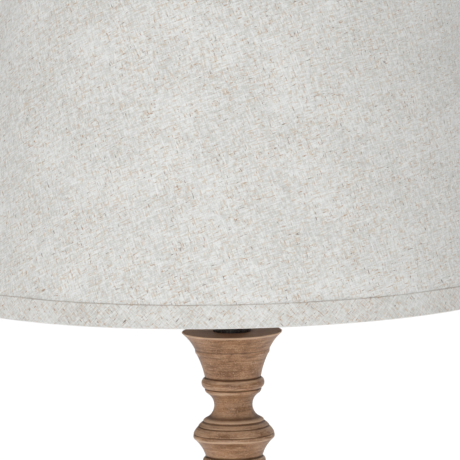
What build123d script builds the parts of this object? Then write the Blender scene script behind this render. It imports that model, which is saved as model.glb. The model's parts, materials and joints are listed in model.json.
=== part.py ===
from build123d import *

import os
from math import hypot

# Table lamp: a turned wooden column on a round foot, with a tapered fabric shade held by a
# harp. Millimetres. The origin is the centre of the underside, +Z is up, the front is -Y
# and the cord would come in at the back, +Y.

# ---- Driving dimensions -------------------------------------------------------------
FOOT_R = 76.0  # widest turning, at the bottom of the foot
PAD_H = 2.0  # felt under the foot
FOOT_TOP = 62.0  # joint between the foot and the lower turning
LOWER_TOP = 158.0  # joint between the lower turning and the baluster
BALUSTER_TOP = 316.0  # joint between the baluster and the upper turning
CUP_TOP = 412.0  # flat top of the column
CUP_R = 34.0  # lip of the flared cup

SHADE_BOTTOM_R = 203.2
SHADE_TOP_R = 139.7
SHADE_H = 279.4
RIM_ABOVE_CUP = 31.5
HEM_H = 15.0
SPIDER_DROP = 19.0  # how far the fitter washer lies below the top edge

ROD_R = 4.9  # lamp pipe, drawn at its thread's crest
ROD_BORE_R = 3.5
ROD_HOLE_R = 5.3  # hole for the pipe in wood and in loose hardware
THREAD_PITCH = 1.0
THREAD_DEPTH = 0.45

HARP_FOOT_X = 36.0
HARP_WIDE_X = 57.0
WIRE_R = 2.1
SLEEVE_LEN = 16.0

GAP = 0.1  # between flat faces of bodies that move on each other
CLEAR = 0.3  # between round faces of bodies that move on each other

os.makedirs("parts", exist_ok=True)


def keep(part, label):
    """Labels a finished piece and writes it as one STEP file."""
    part.label = label
    export_step(part, f"parts/{label}.step")


def lathe_outline(bore, top, moves):
    """Draws the closed half outline of a turning with a centre bore.

    Each move down the outside is a radius, a drop below the top, and how far the stretch
    that leads there bows out (+) or in (-).
    """
    start = (bore, top - moves[0][1])
    here = start
    for radius, drop, bow in moves:
        there = (radius, top - drop)
        if bow:
            SagittaArc(here, there, bow)
        else:
            Line(here, there)
        here = there
    foot = (bore, here[1])
    Line(here, foot)
    Line(foot, start)


def ring_grooves(radius, low, high, pitch, depth):
    """Cuts the V rings that stand in for an outside thread between two heights."""
    count = int((high - low) / pitch)
    for turn in range(count):
        middle = low + pitch * (turn + 0.5)
        with BuildSketch(Plane.XZ) as groove:
            with BuildLine():
                Polyline(
                    (radius + 0.1, middle - 0.45 * pitch),
                    (radius - depth, middle),
                    (radius + 0.1, middle + 0.45 * pitch),
                    close=True,
                )
            make_face()
        revolve(groove.sketch, axis=Axis.Z, mode=Mode.SUBTRACT)


# ---- Foot ---------------------------------------------------------------------------
TENON_R = 10.0  # each turning stands in the one below on a short tenon
TENON_LEN = 8.0
SOCKET_R = TENON_R + 0.2
SOCKET_DEPTH = TENON_LEN + 0.5
RECESS_R = 25.0
RECESS_TOP = 18.0
INLET_Z = 11.0
INLET_R = 5.0
INLET_BORE_R = 3.5
FLANGE_R = 7.0
FLANGE_T = 2.0
FLANGE_SEAT = FOOT_R - FLANGE_T - 1.0
SHANK_LEN = 14.0

SOCKET_TOP = [(SOCKET_R, SOCKET_DEPTH, 0), (SOCKET_R, 0, 0)]

with BuildPart() as felt_pad:
    with BuildSketch():
        Circle(FOOT_R - 5.0)
        Circle(RECESS_R - 1.0, mode=Mode.SUBTRACT)
    extrude(amount=PAD_H)
keep(felt_pad.part, "felt_pad")

foot_drop = FOOT_TOP - PAD_H
with BuildPart() as plinth:
    with BuildSketch(Plane.XZ):
        with BuildLine():
            lathe_outline(
                ROD_HOLE_R,
                FOOT_TOP,
                SOCKET_TOP
                + [
                    (54.0, 0, 0),
                    (54.0, 3.5, 0),
                    (66.0, 14.0, -3.2),
                    (67.5, 14.4, 0),
                    (67.5, 17.0, 0),
                    (66.6, 17.6, 0),
                    (67.4, 33.0, 7.4),
                    (69.0, 33.6, 0),
                    (69.0, 37.0, 0),
                    (FOOT_R - 1.2, 38.2, -0.6),
                    (FOOT_R, 39.4, 0.4),
                    (FOOT_R, foot_drop - 1.5, 0),
                    (FOOT_R - 1.5, foot_drop, 0.4),
                ],
            )
        make_face()
    revolve(axis=Axis.Z)
    with BuildSketch(Plane.XY.offset(PAD_H)):
        Circle(RECESS_R)
    extrude(amount=RECESS_TOP - PAD_H, mode=Mode.SUBTRACT)
    with BuildSketch(Plane.XZ.offset(-RECESS_R + 5.0)):
        with Locations((0, INLET_Z)):
            Circle(INLET_R)
    extrude(amount=-FOOT_R, mode=Mode.SUBTRACT)
    with BuildSketch(Plane.XZ.offset(-FLANGE_SEAT)):
        with Locations((0, INLET_Z)):
            Circle(FLANGE_R + 0.3)
    extrude(amount=-2.0 * FLANGE_T, mode=Mode.SUBTRACT)
keep(plinth.part, "plinth")

with BuildPart() as cord_bushing:
    with BuildSketch(Plane.XZ.offset(-FLANGE_SEAT)):
        with Locations((0, INLET_Z)):
            Circle(FLANGE_R)
    extrude(amount=-FLANGE_T)
    flange_rim = cord_bushing.edges().filter_by(GeomType.CIRCLE).sort_by(Axis.Y)[-1]
    fillet(flange_rim, 0.8)
    with BuildSketch(Plane.XZ.offset(-FLANGE_SEAT)):
        with Locations((0, INLET_Z)):
            Circle(INLET_R - 0.05)
    extrude(amount=SHANK_LEN)
    with BuildSketch(Plane.XZ.offset(-FLANGE_SEAT - FLANGE_T)):
        with Locations((0, INLET_Z)):
            Circle(INLET_BORE_R)
    extrude(amount=SHANK_LEN + FLANGE_T, mode=Mode.SUBTRACT)
keep(cord_bushing.part, "cord_bushing")

# ---- Wooden column ------------------------------------------------------------------
lower_drop = LOWER_TOP - FOOT_TOP
with BuildPart() as lower_turning:
    with BuildSketch(Plane.XZ):
        with BuildLine():
            lathe_outline(
                ROD_HOLE_R,
                LOWER_TOP,
                SOCKET_TOP
                + [
                    (25.5, 0, 0),
                    (25.5, 1.0, 0),
                    (26.0, 11.0, 5.0),
                    (25.0, 11.6, 0),
                    (25.0, 14.6, 0),
                    (23.5, 15.2, 0),
                    (30.0, 47.0, -6.4),
                    (31.5, 47.6, 0),
                    (31.5, 50.4, 0),
                    (30.6, 51.0, 0),
                    (31.4, 65.0, 6.9),
                    (33.0, 65.6, 0),
                    (33.0, 68.6, 0),
                    (31.6, 69.2, 0),
                    (50.0, lower_drop - 3.0, -7.0),
                    (51.0, lower_drop - 2.6, 0),
                    (51.0, lower_drop, 0),
                    (TENON_R, lower_drop, 0),
                    (TENON_R, lower_drop + TENON_LEN, 0),
                ],
            )
        make_face()
    revolve(axis=Axis.Z)
keep(lower_turning.part, "lower_turning")

VASE_NECK_R = 15.4
VASE_BELLY_R = 35.0
vase_top = BALUSTER_TOP - 5.0
vase_bottom = LOWER_TOP + 10.5
with BuildPart() as baluster:
    with BuildSketch(Plane.XZ):
        with BuildLine():
            Polyline(
                (ROD_HOLE_R, BALUSTER_TOP - SOCKET_DEPTH),
                (SOCKET_R, BALUSTER_TOP - SOCKET_DEPTH),
                (SOCKET_R, BALUSTER_TOP),
                (18.6, BALUSTER_TOP),
                (18.6, BALUSTER_TOP - 3.2),
                (16.6, vase_top),
            )
            Spline(
                (16.6, vase_top),
                (VASE_NECK_R, vase_top - 9.0),
                (22.6, vase_top - 48.0),
                (VASE_BELLY_R, vase_bottom + 36.0),
                (20.5, vase_bottom),
                tangents=[(-0.6, -1.0), (-0.75, -1.0)],
            )
            Polyline(
                (20.5, vase_bottom), (22.6, vase_bottom - 1.0), (22.6, vase_bottom - 4.2)
            )
            SagittaArc((22.6, vase_bottom - 4.2), (25.5, LOWER_TOP), -1.2)
            Polyline(
                (25.5, LOWER_TOP),
                (TENON_R, LOWER_TOP),
                (TENON_R, LOWER_TOP - TENON_LEN),
                (ROD_HOLE_R, LOWER_TOP - TENON_LEN),
                (ROD_HOLE_R, BALUSTER_TOP - SOCKET_DEPTH),
            )
        make_face()
    revolve(axis=Axis.Z)
keep(baluster.part, "baluster")

# The flared cup, a bead on a fillet, a deep waist, three stepped rings and a cove. The
# drops are below the flat top.
upper_drop = CUP_TOP - BALUSTER_TOP
with BuildPart() as upper_turning:
    with BuildSketch(Plane.XZ):
        with BuildLine():
            lathe_outline(
                ROD_HOLE_R,
                CUP_TOP,
                [
                    (CUP_R - 0.4, 0, 0),
                    (CUP_R - 0.1, 0.7, 0.15),
                    (25.3, 12.0, -0.8),
                    (24.9, 14.6, 0.15),
                    (24.4, 15.1, 0),
                    (19.1, 30.4, -0.6),
                    (18.5, 31.2, 0),
                    (19.5, 38.5, 2.35),
                    (18.9, 38.8, 0),
                    (19.3, 39.2, 0),
                    (18.3, 41.5, 0.25),
                    (17.7, 42.0, 0),
                    (19.4, 59.5, -5.5),
                    (20.3, 60.1, 0),
                    (20.4, 61.3, 0.2),
                    (23.9, 64.2, 0.25),
                    (23.4, 64.6, 0),
                    (24.1, 64.9, 0),
                    (27.3, 69.3, 0.3),
                    (26.8, 69.8, 0),
                    (27.4, 70.2, 0),
                    (27.4, 72.6, 0.2),
                    (19.4, 84.8, -1.1),
                    (18.9, 85.2, 0),
                    (19.2, 92.0, 2.3),
                    (18.6, 92.6, 0),
                    (18.6, upper_drop, 0),
                    (TENON_R, upper_drop, 0),
                    (TENON_R, upper_drop + TENON_LEN, 0),
                ],
            )
        make_face()
    revolve(axis=Axis.Z)
keep(upper_turning.part, "upper_turning")

# ---- Pipe and the hardware that clamps the column ------------------------------------
CHECK_RING_R = 12.8
CHECK_RING_H = 4.0
KNURLS = 40
NECK_H = 18.0
SADDLE_T = 1.6
LOCK_WASHER_H = 1.0
NUT_FLATS = 14.3
NUT_H = 4.0

ring_top = CUP_TOP + CHECK_RING_H
neck_top = ring_top + NECK_H
saddle_top = neck_top + SADDLE_T
washer_top = saddle_top + LOCK_WASHER_H
nut_top = washer_top + NUT_H
rod_bottom = PAD_H + 4.0
rod_top = nut_top + 10.0
BASE_WASHER_R = 19.0
BASE_WASHER_H = 1.5

with BuildPart() as lamp_rod:
    with BuildSketch(Plane.XY.offset(rod_bottom)):
        Circle(ROD_R)
        Circle(ROD_BORE_R, mode=Mode.SUBTRACT)
    extrude(amount=rod_top - rod_bottom)
    ring_grooves(ROD_R, rod_bottom + 0.5, rod_bottom + 14.5, THREAD_PITCH, THREAD_DEPTH)
    ring_grooves(ROD_R, rod_top - 16.5, rod_top - 0.5, THREAD_PITCH, THREAD_DEPTH)
keep(lamp_rod.part, "lamp_rod")

with BuildPart() as base_washer:
    with BuildSketch(Plane.XY.offset(RECESS_TOP - BASE_WASHER_H)):
        Circle(BASE_WASHER_R)
        Circle(ROD_HOLE_R, mode=Mode.SUBTRACT)
    extrude(amount=BASE_WASHER_H)
    chamfer(base_washer.edges().filter_by(GeomType.CIRCLE).sort_by(SortBy.RADIUS)[-2:], 0.3)
keep(base_washer.part, "base_washer")


def hex_nut(bottom):
    """A hexagon nut on the lamp pipe, with its corners turned off at both ends."""
    with BuildPart() as nut:
        with BuildSketch(Plane.XY.offset(bottom)):
            RegularPolygon(NUT_FLATS / 2, 6, major_radius=False)
        extrude(amount=NUT_H)
        with BuildSketch(Plane.XZ):
            with BuildLine():
                lathe_outline(
                    ROD_R + 0.05,
                    bottom + NUT_H,
                    [
                        (NUT_FLATS / 2, 0, 0),
                        (NUT_FLATS / 2 + 1.4, 0.8, 0),
                        (NUT_FLATS / 2 + 1.4, NUT_H - 0.8, 0),
                        (NUT_FLATS / 2, NUT_H, 0),
                    ],
                )
            make_face()
        revolve(axis=Axis.Z, mode=Mode.INTERSECT)
    return nut.part


keep(hex_nut(RECESS_TOP - BASE_WASHER_H - NUT_H), "base_nut")
keep(hex_nut(washer_top), "lock_nut")

with BuildPart() as check_ring:
    with BuildSketch(Plane.XZ):
        with BuildLine():
            lathe_outline(
                ROD_HOLE_R,
                ring_top,
                [
                    (CHECK_RING_R - 2.2, 0, 0),
                    (CHECK_RING_R - 1.4, 0.8, 0),
                    (CHECK_RING_R - 0.7, 0.8, 0),
                    (CHECK_RING_R, 1.4, 0.2),
                    (CHECK_RING_R, CHECK_RING_H - 0.5, 0),
                    (CHECK_RING_R - 0.5, CHECK_RING_H, 0.1),
                ],
            )
        make_face()
    revolve(axis=Axis.Z)
    with BuildSketch(Plane.XY.offset(CUP_TOP)):
        with PolarLocations(CHECK_RING_R + 0.45, KNURLS):
            Circle(0.75)
    extrude(amount=CHECK_RING_H, mode=Mode.SUBTRACT)
keep(check_ring.part, "check_ring")

with BuildPart() as neck:
    with BuildSketch(Plane.XZ):
        with BuildLine():
            lathe_outline(
                ROD_HOLE_R,
                neck_top,
                [
                    (9.5, 0, 0),
                    (9.5, 2.0, 0.3),
                    (7.6, 3.0, 0),
                    (7.6, NECK_H - 3.0, -0.5),
                    (9.5, NECK_H - 2.0, 0),
                    (9.5, NECK_H, 0.3),
                ],
            )
        make_face()
    revolve(axis=Axis.Z)
keep(neck.part, "neck")

WASHER_TEETH = 12
with BuildPart() as lock_washer:
    with BuildSketch(Plane.XY.offset(saddle_top)):
        Circle(8.6)
        Circle(ROD_HOLE_R, mode=Mode.SUBTRACT)
        with PolarLocations(8.6, WASHER_TEETH):
            Circle(0.9, mode=Mode.SUBTRACT)
    extrude(amount=LOCK_WASHER_H)
keep(lock_washer.part, "lock_washer")

# ---- Harp saddle, harp, sleeves ------------------------------------------------------
COLLAR_R = 3.6
COLLAR_H = 1.6
STRIP_W = 12.7
ARM_W = 5.2
lap_bottom = saddle_top + 8.0  # top of the saddle's collars, where the lap joints start
lap_top = lap_bottom + 10.0

with BuildPart() as harp_saddle:
    with BuildSketch(Plane.XZ):
        with BuildLine():
            strip_z = neck_top + SADDLE_T / 2
            FilletPolyline(
                (-HARP_FOOT_X, lap_bottom - COLLAR_H / 2),
                (-HARP_FOOT_X, strip_z),
                (HARP_FOOT_X, strip_z),
                (HARP_FOOT_X, lap_bottom - COLLAR_H / 2),
                radius=3.0,
            )
        trace(line_width=SADDLE_T)
    extrude(amount=STRIP_W / 2, both=True)
    # In plan the strip is wide round the pipe and tapers to the arms.
    with BuildSketch(Plane.XY.offset(neck_top - 1.0)):
        with BuildLine():
            Polyline(
                (-HARP_FOOT_X - 2, -ARM_W / 2),
                (-16.0, -STRIP_W / 2),
                (16.0, -STRIP_W / 2),
                (HARP_FOOT_X + 2, -ARM_W / 2),
                (HARP_FOOT_X + 2, ARM_W / 2),
                (16.0, STRIP_W / 2),
                (-16.0, STRIP_W / 2),
                (-HARP_FOOT_X - 2, ARM_W / 2),
                close=True,
            )
        make_face()
    extrude(amount=20.0, mode=Mode.INTERSECT)
    with BuildSketch(Plane.XY.offset(lap_bottom - COLLAR_H)):
        with Locations((-HARP_FOOT_X, 0), (HARP_FOOT_X, 0)):
            Circle(COLLAR_R)
    extrude(amount=COLLAR_H)
    # The outer half of each lap joint stands on the collar.
    with BuildSketch(Plane.XY.offset(lap_bottom - 0.2)):
        with Locations((-HARP_FOOT_X, 0), (HARP_FOOT_X, 0)):
            Circle(WIRE_R)
        Rectangle(2 * (HARP_FOOT_X + GAP / 2), STRIP_W, mode=Mode.SUBTRACT)
    extrude(amount=lap_top - lap_bottom)
    with BuildSketch(Plane.XY.offset(neck_top - 1.0)):
        Circle(ROD_HOLE_R)
    extrude(amount=SADDLE_T + 2.0, mode=Mode.SUBTRACT)
keep(harp_saddle.part, "harp_saddle")

shade_bottom = CUP_TOP + RIM_ABOVE_CUP
shade_top = shade_bottom + SHADE_H
fitter_z = shade_top - SPIDER_DROP  # underside of the fitter washer
SHOULDER_H = 1.8
SHOULDER_R = 6.3
STUD_R = 3.1
EYE_R = 6.5
shoulder_top = fitter_z - GAP
eye_top = shoulder_top - SHOULDER_H
eye_z = eye_top - WIRE_R

with BuildPart() as harp_wire:
    with BuildSketch(Plane.XY.offset(lap_bottom + 0.2)):
        with Locations((HARP_FOOT_X, 0)):
            Circle(WIRE_R)
        with Locations((HARP_FOOT_X + WIRE_R - GAP / 2, 0)):
            Rectangle(2 * WIRE_R, STRIP_W, mode=Mode.SUBTRACT)
    extrude(amount=lap_top - lap_bottom)
    with BuildLine(Plane.XZ) as harp_path:
        FilletPolyline(
            (HARP_FOOT_X, lap_top),
            (HARP_FOOT_X, lap_top + 34.0),
            (HARP_WIDE_X, lap_top + 76.0),
            (HARP_WIDE_X, lap_top + 158.0),
            (20.0, eye_z),
            (0, eye_z),
            radius=[34.0, 42.0, 120.0, 13.0],
        )
    with BuildSketch(Plane.XY.offset(lap_top)):
        with Locations((HARP_FOOT_X, 0)):
            Circle(WIRE_R)
    sweep(path=harp_path.line)
    mirror(about=Plane.YZ)
    with BuildSketch(Plane.XY.offset(eye_z - WIRE_R)):
        Circle(EYE_R)
    extrude(amount=2 * WIRE_R)
    with BuildSketch(Plane.XY.offset(eye_z - 2 * WIRE_R)):
        Circle(STUD_R + GAP)
    extrude(amount=4 * WIRE_R, mode=Mode.SUBTRACT)
keep(harp_wire.part, "harp_wire")

STUD_TOP = fitter_z + 17.0
RIVET_R = 5.0
RIVET_H = 1.5
with BuildPart() as harp_stud:
    with BuildSketch(Plane.XZ):
        with BuildLine():
            lathe_outline(
                0,
                STUD_TOP,
                [
                    (STUD_R - 0.6, 0, 0),
                    (STUD_R, 0.6, 0),
                    (STUD_R, STUD_TOP - shoulder_top, 0),
                    (SHOULDER_R, STUD_TOP - shoulder_top, 0),
                    (SHOULDER_R, STUD_TOP - eye_top, 0),
                    (STUD_R, STUD_TOP - eye_top, 0),
                    (STUD_R, STUD_TOP - eye_z + WIRE_R, 0),
                    (RIVET_R, STUD_TOP - eye_z + WIRE_R, 0),
                    (RIVET_R - 1.6, STUD_TOP - eye_z + WIRE_R + RIVET_H, 0.4),
                ],
            )
        make_face()
    revolve(axis=Axis.Z)
    ring_grooves(STUD_R, fitter_z + 2.5, STUD_TOP - 1.0, THREAD_PITCH, THREAD_DEPTH)
keep(harp_stud.part, "harp_stud")

for side, label in ((-1, "sleeve_left"), (1, "sleeve_right")):
    with BuildPart() as sleeve:
        with BuildSketch(Plane.XY.offset(lap_bottom + GAP)):
            with Locations((side * HARP_FOOT_X, 0)):
                Circle(WIRE_R + CLEAR + 0.8)
        extrude(amount=SLEEVE_LEN)
        fillet(sleeve.edges().filter_by(GeomType.CIRCLE), 0.35)
        with BuildSketch(Plane.XY.offset(lap_bottom)):
            with Locations((side * HARP_FOOT_X, 0)):
                Circle(WIRE_R + CLEAR)
        extrude(amount=SLEEVE_LEN + 1.0, mode=Mode.SUBTRACT)
    keep(sleeve.part, label)

# ---- Socket ---------------------------------------------------------------------------
SOCKET_CAP_H = 26.0
SOCKET_H = 65.0
SHELL_R = 17.0
SHELL_T = 0.6
CAP_T = 0.9
STEM_R = 3.0
EDISON_PITCH = 3.6
cap_bottom = nut_top + 0.4
socket_top = cap_bottom + SOCKET_H
stem_z = cap_bottom + 30.0
body_bottom = cap_bottom + 17.0
body_top = cap_bottom + 39.0
hub_r = 7.4
hub_h = 8.5
cap_top = cap_bottom + SOCKET_CAP_H
screw_z = cap_bottom + 4.2

shoulder_z = cap_bottom + hub_h
skirt_z = shoulder_z + 11.0
skirt_in_r = SHELL_R + GAP
skirt_out_r = skirt_in_r + CAP_T
hub_in_r = ROD_R + GAP

with BuildPart() as socket_cap:
    with BuildSketch(Plane.XZ):
        with BuildLine():
            Polyline((hub_in_r, cap_bottom), (hub_r, cap_bottom), (hub_r, shoulder_z))
            ThreePointArc(
                (hub_r, shoulder_z), (SHELL_R - 1.6, shoulder_z + 4.0), (skirt_out_r, skirt_z)
            )
            Polyline(
                (skirt_out_r, skirt_z),
                (skirt_out_r, cap_top),
                (skirt_in_r, cap_top),
                (skirt_in_r, skirt_z),
            )
            ThreePointArc(
                (skirt_in_r, skirt_z), (SHELL_R - 2.4, shoulder_z + 4.7), (hub_r, shoulder_z + CAP_T)
            )
            Polyline(
                (hub_r, shoulder_z + CAP_T), (hub_in_r, shoulder_z + CAP_T), (hub_in_r, cap_bottom)
            )
        make_face()
    revolve(axis=Axis.Z)
    with BuildSketch(Plane.YZ):
        with Locations((0, screw_z)):
            Circle(1.6)
    extrude(amount=2 * hub_r, mode=Mode.SUBTRACT)
keep(socket_cap.part, "socket_cap")

with BuildPart() as set_screw:
    with BuildSketch(Plane.YZ.offset(ROD_R + GAP)):
        with Locations((0, screw_z)):
            Circle(1.5)
    extrude(amount=hub_r + 0.4 - ROD_R)
    with BuildSketch(Plane.YZ.offset(hub_r + 0.2)):
        with Locations((0, screw_z)):
            Circle(2.8)
    extrude(amount=1.7)
    with BuildSketch(Plane.YZ.offset(hub_r + 1.2)):
        with Locations((0, screw_z)):
            Rectangle(6.0, 0.8)
    extrude(amount=1.0, mode=Mode.SUBTRACT)
keep(set_screw.part, "set_screw")

shell_bottom = cap_top - 6.0
with BuildPart() as socket_shell:
    with BuildSketch(Plane.XZ):
        with BuildLine():
            lathe_outline(
                SHELL_R - SHELL_T,
                socket_top,
                [
                    (SHELL_R, 0, 0),
                    (SHELL_R + 0.5, 0.8, 0.15),
                    (SHELL_R, 1.8, 0.2),
                    (SHELL_R, 18.0, 0),
                    (SHELL_R + 0.6, 19.0, 0.2),
                    (SHELL_R, 20.0, 0.2),
                    (SHELL_R, socket_top - shell_bottom, 0),
                ],
            )
        make_face()
    revolve(axis=Axis.Z)
    with BuildSketch(Plane.XZ):
        with Locations((0, stem_z)):
            Circle(STEM_R + CLEAR)
    extrude(amount=2 * SHELL_R, mode=Mode.SUBTRACT)
keep(socket_shell.part, "socket_shell")

with BuildPart() as insulating_sleeve:
    with BuildSketch(Plane.XY.offset(body_bottom + 3.0)):
        Circle(SHELL_R - SHELL_T - GAP)
        Circle(SHELL_R - SHELL_T - GAP - 0.8, mode=Mode.SUBTRACT)
    extrude(amount=socket_top - body_bottom - 4.5)
    with BuildSketch(Plane.XZ):
        with Locations((0, stem_z)):
            Circle(STEM_R + CLEAR)
    extrude(amount=2 * SHELL_R, mode=Mode.SUBTRACT)
keep(insulating_sleeve.part, "insulating_sleeve")

BODY_R = 14.6
TERMINAL_Z = body_bottom + 6.0
FLAT_X = 11.6
with BuildPart() as socket_body:
    with BuildSketch(Plane.XY.offset(body_bottom)):
        Circle(BODY_R)
    extrude(amount=body_top - body_bottom)
    chamfer(socket_body.edges().filter_by(GeomType.CIRCLE), 0.6)
    with BuildSketch(Plane.XY.offset(body_bottom)):
        with Locations((-FLAT_X - 5.0, 0), (FLAT_X + 5.0, 0)):
            Rectangle(10.0, 30.0)
    extrude(amount=12.0, mode=Mode.SUBTRACT)
    with BuildSketch(Plane.YZ):
        with Locations((0, TERMINAL_Z)):
            Circle(1.6)
    extrude(amount=BODY_R, both=True, mode=Mode.SUBTRACT)
    with BuildSketch(Plane.XZ.offset(5.0)):
        with Locations((0, stem_z)):
            Circle(STEM_R + CLEAR)
    extrude(amount=BODY_R, mode=Mode.SUBTRACT)
    with BuildSketch(Plane.XY.offset(body_bottom)):
        Circle(2.0)
    extrude(amount=body_top - body_bottom, mode=Mode.SUBTRACT)
keep(socket_body.part, "socket_body")

with BuildPart() as terminal_screws:
    for side in (-1, 1):
        with BuildSketch(Plane.YZ.offset(side * (FLAT_X - 6.0))):
            with Locations((0, TERMINAL_Z)):
                Circle(1.5)
        extrude(amount=side * 6.2)
        with BuildSketch(Plane.YZ.offset(side * (FLAT_X + 0.1))):
            with Locations((0, TERMINAL_Z)):
                Circle(3.2)
        extrude(amount=side * 1.6)
        with BuildSketch(Plane.YZ.offset(side * (FLAT_X + 1.1))):
            with Locations((0, TERMINAL_Z)):
                Rectangle(7.0, 0.9)
        extrude(amount=side * 1.0, mode=Mode.SUBTRACT)
keep(terminal_screws.part, "terminal_screws")


def edison_outline(crest, wall, low, turns):
    """Draws a rolled Edison thread's wall: waves of equal arcs on both of its faces."""
    half = EDISON_PITCH / 2
    for face in (crest, crest - wall):
        for turn in range(2 * turns):
            bottom = low + turn * half
            bow = 0.45 if turn % 2 else -0.45
            SagittaArc((face - 0.45, bottom), (face - 0.45, bottom + half), bow)
    for z in (low, low + 2 * turns * half):
        Line((crest - 0.45, z), (crest - wall - 0.45, z))


SCREW_SHELL_R = 14.4  # crest, outside
SHEET_T = 0.45
SHELL_TURNS = 6
EYELET_Z = body_top + 3.6  # underside of the bulb's centre contact
thread_low = body_top + 1.0
with BuildPart() as screw_shell:
    with BuildSketch(Plane.XZ):
        with BuildLine():
            edison_outline(SCREW_SHELL_R, SHEET_T, thread_low, SHELL_TURNS)
        make_face()
    revolve(axis=Axis.Z)
    with BuildSketch(Plane.XY.offset(body_top)):
        Circle(SCREW_SHELL_R - 0.45)
        Circle(5.5, mode=Mode.SUBTRACT)
    extrude(amount=SHEET_T)
    with BuildSketch(Plane.XY.offset(body_top)):
        Circle(SCREW_SHELL_R - 0.45)
        Circle(SCREW_SHELL_R - 0.45 - SHEET_T, mode=Mode.SUBTRACT)
    extrude(amount=thread_low - body_top + 0.01)
keep(screw_shell.part, "screw_shell")

with BuildPart() as centre_contact:
    with BuildSketch(Plane.XZ):
        with BuildLine():
            Polyline(
                (-1.0, body_top + 0.35),
                (3.4, body_top + 0.35),
                (-3.0, body_top + 2.9),
                (-4.4, body_top + 2.5),
            )
        trace(line_width=0.5)
    extrude(amount=2.2, both=True)
    with BuildSketch(Plane.XY.offset(body_top - 8.0)):
        Circle(1.8)
    extrude(amount=8.2)
keep(centre_contact.part, "centre_contact")

# ---- Turn switch ----------------------------------------------------------------------
KNOB_R = 6.0
KNOB_LEN = 19.0
knob_y = SHELL_R + 9.0
RIBS = 16
with BuildPart() as switch_stem:
    with BuildSketch(Plane.XZ.offset(6.0)):
        with Locations((0, stem_z)):
            Circle(STEM_R)
    extrude(amount=knob_y + 9.0 - 6.0)
keep(switch_stem.part, "switch_stem")

with BuildPart() as switch_knob:
    with BuildSketch(Plane.XZ.offset(knob_y)):
        with Locations((0, stem_z)):
            Circle(KNOB_R)
            with PolarLocations(KNOB_R + 0.35, RIBS):
                Circle(0.8, mode=Mode.SUBTRACT)
    extrude(amount=KNOB_LEN, taper=2.0)
    with BuildSketch(Plane.XZ.offset(knob_y - 2.0)):
        with Locations((0, stem_z)):
            Circle(KNOB_R - 1.6)
    extrude(amount=2.0)
    with BuildSketch(Plane.XZ.offset(knob_y - 2.0)):
        with Locations((0, stem_z)):
            Circle(STEM_R)
    extrude(amount=11.0, mode=Mode.SUBTRACT)
keep(switch_knob.part, "switch_knob")

# ---- Bulb -----------------------------------------------------------------------------
BULB_H = 108.0
BULB_R = 30.0
GLASS_T = 0.9
CAP_CREST = SCREW_SHELL_R - SHEET_T - CLEAR - 0.9
CAP_TURNS = 6
bulb_thread_low = EYELET_Z + 3.2
bulb_thread_high = bulb_thread_low + CAP_TURNS * EDISON_PITCH
bulb_top = EYELET_Z + BULB_H
belly_z = bulb_top - BULB_R
NECK_R = 11.0

with BuildPart() as bulb_cap:
    with BuildSketch(Plane.XZ):
        with BuildLine():
            edison_outline(CAP_CREST, SHEET_T, bulb_thread_low, CAP_TURNS)
        make_face()
    revolve(axis=Axis.Z)
    with BuildSketch(Plane.XY.offset(bulb_thread_high - 0.01)):
        Circle(CAP_CREST - 0.45)
        Circle(CAP_CREST - 0.45 - SHEET_T, mode=Mode.SUBTRACT)
    extrude(amount=2.5)
keep(bulb_cap.part, "bulb_cap")

with BuildPart() as bulb_insulator:
    with BuildSketch(Plane.XZ):
        with BuildLine():
            lathe_outline(
                0,
                bulb_thread_low,
                [
                    (CAP_CREST - 0.5, 0, 0),
                    (CAP_CREST - 1.2, 0.6, 0.15),
                    (5.0, bulb_thread_low - EYELET_Z - 0.8, 0),
                ],
            )
        make_face()
    revolve(axis=Axis.Z)
keep(bulb_insulator.part, "bulb_insulator")

with BuildPart() as bulb_contact:
    with BuildSketch(Plane.XZ):
        with BuildLine():
            lathe_outline(0, EYELET_Z + 0.8, [(4.8, 0, 0), (3.6, 0.8, 0.2)])
        make_face()
    revolve(axis=Axis.Z)
keep(bulb_contact.part, "bulb_contact")


def globe_outline(inset):
    """Draws half the bulb's outline, moved in from the outside by a wall's thickness."""
    neck_low = (NECK_R - inset, bulb_thread_high - 2.0 + inset)
    neck_high = (NECK_R + 0.6 - inset, bulb_thread_high + 7.0)
    belly = (BULB_R - inset, belly_z)
    crown = (0, bulb_top - inset)
    Line((0, neck_low[1]), neck_low)
    Line(neck_low, neck_high)
    Spline(neck_high, belly, tangents=[(0.12, 1), (0, 1)])
    CenterArc((0, belly_z), BULB_R - inset, 0, 90)
    Line(crown, (0, neck_low[1]))


with BuildPart() as bulb_globe:
    with BuildSketch(Plane.XZ):
        with BuildLine():
            globe_outline(0)
        make_face()
    revolve(axis=Axis.Z)
    with BuildSketch(Plane.XZ):
        with BuildLine():
            globe_outline(GLASS_T)
        make_face()
    revolve(axis=Axis.Z, mode=Mode.SUBTRACT)
keep(bulb_globe.part, "bulb_globe")

# ---- Shade ----------------------------------------------------------------------------
CLOTH_T = 0.6
PANEL_T = 0.7
LINER_T = 0.4
RING_R = 1.4
WRAP_H = 7.0
ARM_R = 1.6
ARMS = 3
FIRST_ARM_DEG = 90
slope = hypot(SHADE_BOTTOM_R - SHADE_TOP_R, SHADE_H)
fall_r = (SHADE_TOP_R - SHADE_BOTTOM_R) / slope
rise_z = SHADE_H / slope
hem_depth = CLOTH_T + PANEL_T + LINER_T + 2 * RING_R + 2 * GAP + CLOTH_T
ring_along = CLOTH_T + GAP + RING_R
ring_in = CLOTH_T + PANEL_T + LINER_T + GAP + RING_R


def on_shade(along, inward):
    """A point of the shade's section: along its slope from the rim, and in from its face."""
    return (
        SHADE_BOTTOM_R + fall_r * along - rise_z * inward,
        shade_bottom + rise_z * along + fall_r * inward,
    )


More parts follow.
